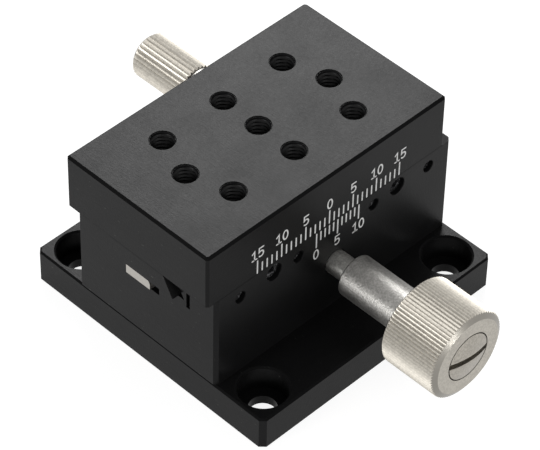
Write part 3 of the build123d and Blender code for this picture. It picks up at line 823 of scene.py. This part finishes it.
class STAGE_OT_bearings(bpy.types.Operator):
    """Finish the bushes and washers on the drive shaft"""

    bl_idname = "stage.bearings"
    bl_label = "Finish Bearings"

    def execute(self, context):
        settings = context.scene.stage_metals
        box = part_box("front_bush")
        brass = turned_finish("bush_brass", settings, settings.brass, box,
                              roughness=0.21, mottling=0.5, marks=settings.fine_marks)
        bronze = turned_finish("washer_bronze", settings, settings.bronze, box,
                               roughness=0.25, mottling=0.8, marks=settings.washer_marks)
        paint(brass, "front_bush", "rear_bush")
        paint(bronze, "spring_washer")
        paint(plastic_finish(settings), "thrust_washer")
        return {"FINISHED"}


class STAGE_OT_studio(bpy.types.Operator):
    """Set up the floor, the world, the lamps and the camera"""

    bl_idname = "stage.studio"
    bl_label = "Set Up Studio"

    def execute(self, context):
        settings = context.scene.stage_studio
        context.scene.view_settings.view_transform = "Standard"
        make_floor(settings)
        make_world(settings)
        for lamp in LAMPS:
            make_lamp(settings, lamp)
        make_camera(settings)
        return {"FINISHED"}


# ---------------------------------------------------------------- studio


def seen_directly(finish):
    """1 for rays from the camera and for those that metal or glass sends on, otherwise 0."""
    camera = finish.node("ShaderNodeLightPath", {}, {}, "Is Camera Ray")
    glossy = finish.node("ShaderNodeLightPath", {}, {}, "Is Glossy Ray")
    clear = finish.node("ShaderNodeLightPath", {}, {}, "Is Transmission Ray")
    return finish.node("ShaderNodeClamp", {}, {"Value": camera + glossy + clear})


def make_floor(settings):
    """A wide white floor under the base plate. It keeps the stage's shadow."""
    mesh = bmesh.new()
    bmesh.ops.create_grid(mesh, x_segments=24, y_segments=24, size=settings.floor_reach)
    bmesh.ops.translate(mesh, verts=mesh.verts, vec=(0, 0, cad_box[0].z - settings.floor_gap))
    data = bpy.data.meshes.new("floor")
    mesh.to_mesh(data)
    mesh.free()
    floor = bpy.data.objects.new("floor", data)
    bpy.context.scene.collection.objects.link(floor)
    finish = new_finish("floor_white", {"Base Color": grey(settings.floor_white), "Roughness": 0.9,
                                        "Specular IOR Level": 0.0, "Emission Strength": 1.0})
    glow = finish.blend(seen_directly(finish), grey(0.0), grey(settings.floor_glow))
    finish.feed({"Emission Color": glow})
    data.materials.append(finish.owner)


def make_world(settings):
    """White behind the stage, and a plain soft light on it."""
    world = bpy.data.worlds.new("studio")
    bpy.context.scene.world = world
    finish = Finish(world, "ShaderNodeBackground", "ShaderNodeOutputWorld", {"Strength": 1.0})
    finish.feed({"Color": finish.blend(seen_directly(finish), grey(settings.ambient), grey(1.0))})


def make_lamp(settings, name):
    """A square soft lamp that points at the middle of the stage."""
    data = bpy.data.lights.new(name + "_lamp", "AREA")
    data.energy = getattr(settings, name + "_power")
    data.size = getattr(settings, name + "_size")
    lamp = bpy.data.objects.new(name + "_lamp", data)
    lamp.visible_camera = False
    bpy.context.scene.collection.objects.link(lamp)
    lamp.location = getattr(settings, name + "_place")
    middle = (cad_box[0] + cad_box[1]) / 2
    lamp.rotation_mode = "QUATERNION"
    lamp.rotation_quaternion = (lamp.location - middle).to_track_quat("Z", "Y")


def make_camera(settings):
    """The camera, turned about the upright axis and rolled a little about its own."""
    turn, rise, roll = settings.azimuth, settings.elevation, settings.roll
    back = Vector((-math.sin(turn) * math.cos(rise), -math.cos(turn) * math.cos(rise), math.sin(rise)))
    level = Vector((math.cos(turn), -math.sin(turn), 0))
    upright = back.cross(level)
    right = level * math.cos(roll) + upright * math.sin(roll)
    up = upright * math.cos(roll) - level * math.sin(roll)
    data = bpy.data.cameras.new("camera")
    data.lens = settings.lens
    camera = bpy.data.objects.new("camera", data)
    bpy.context.scene.collection.objects.link(camera)
    place = Vector((0, 0, settings.aim_height)) + right * settings.aim_right + up * settings.aim_up
    placed = Matrix((right, up, back)).transposed().to_4x4()
    placed.translation = place + back * settings.distance
    camera.matrix_world = placed
    bpy.context.scene.camera = camera


# ---------------------------------------------------------------- panel and registration


OPERATORS = (STAGE_OT_blocks, STAGE_OT_threads, STAGE_OT_scale, STAGE_OT_vernier, STAGE_OT_drive_knob,
             STAGE_OT_clamp_knob, STAGE_OT_rack, STAGE_OT_screws, STAGE_OT_bearings, STAGE_OT_studio)
SETTINGS = {"stage_marks": MarkSettings, "stage_threads": ThreadSettings,
            "stage_anodising": AnodisingSettings, "stage_metals": MetalSettings,
            "stage_studio": StudioSettings}


class STAGE_PT_sidebar(bpy.types.Panel):
    """Lists the steps and their settings"""

    bl_idname = "STAGE_PT_sidebar"
    bl_label = "Translation Stage"
    bl_space_type = "VIEW_3D"
    bl_region_type = "UI"
    bl_category = SIDEBAR_TAB

    def draw(self, context):
        for operator in OPERATORS:
            self.layout.operator(operator.bl_idname)
        for name, group in SETTINGS.items():
            box = self.layout.box()
            for setting in group.__annotations__:
                box.prop(getattr(context.scene, name), setting)


CLASSES = (*SETTINGS.values(), *OPERATORS, STAGE_PT_sidebar)


def register():
    for cls in CLASSES:
        bpy.utils.register_class(cls)
    for name, group in SETTINGS.items():
        setattr(bpy.types.Scene, name, PointerProperty(type=group))


def unregister():
    for name in SETTINGS:
        delattr(bpy.types.Scene, name)
    for cls in reversed(CLASSES):
        bpy.utils.unregister_class(cls)


def main():
    register()
    for operator in OPERATORS:
        group, name = operator.bl_idname.split(".")
        getattr(getattr(bpy.ops, group), name)()


if __name__ == "__main__":
    main()
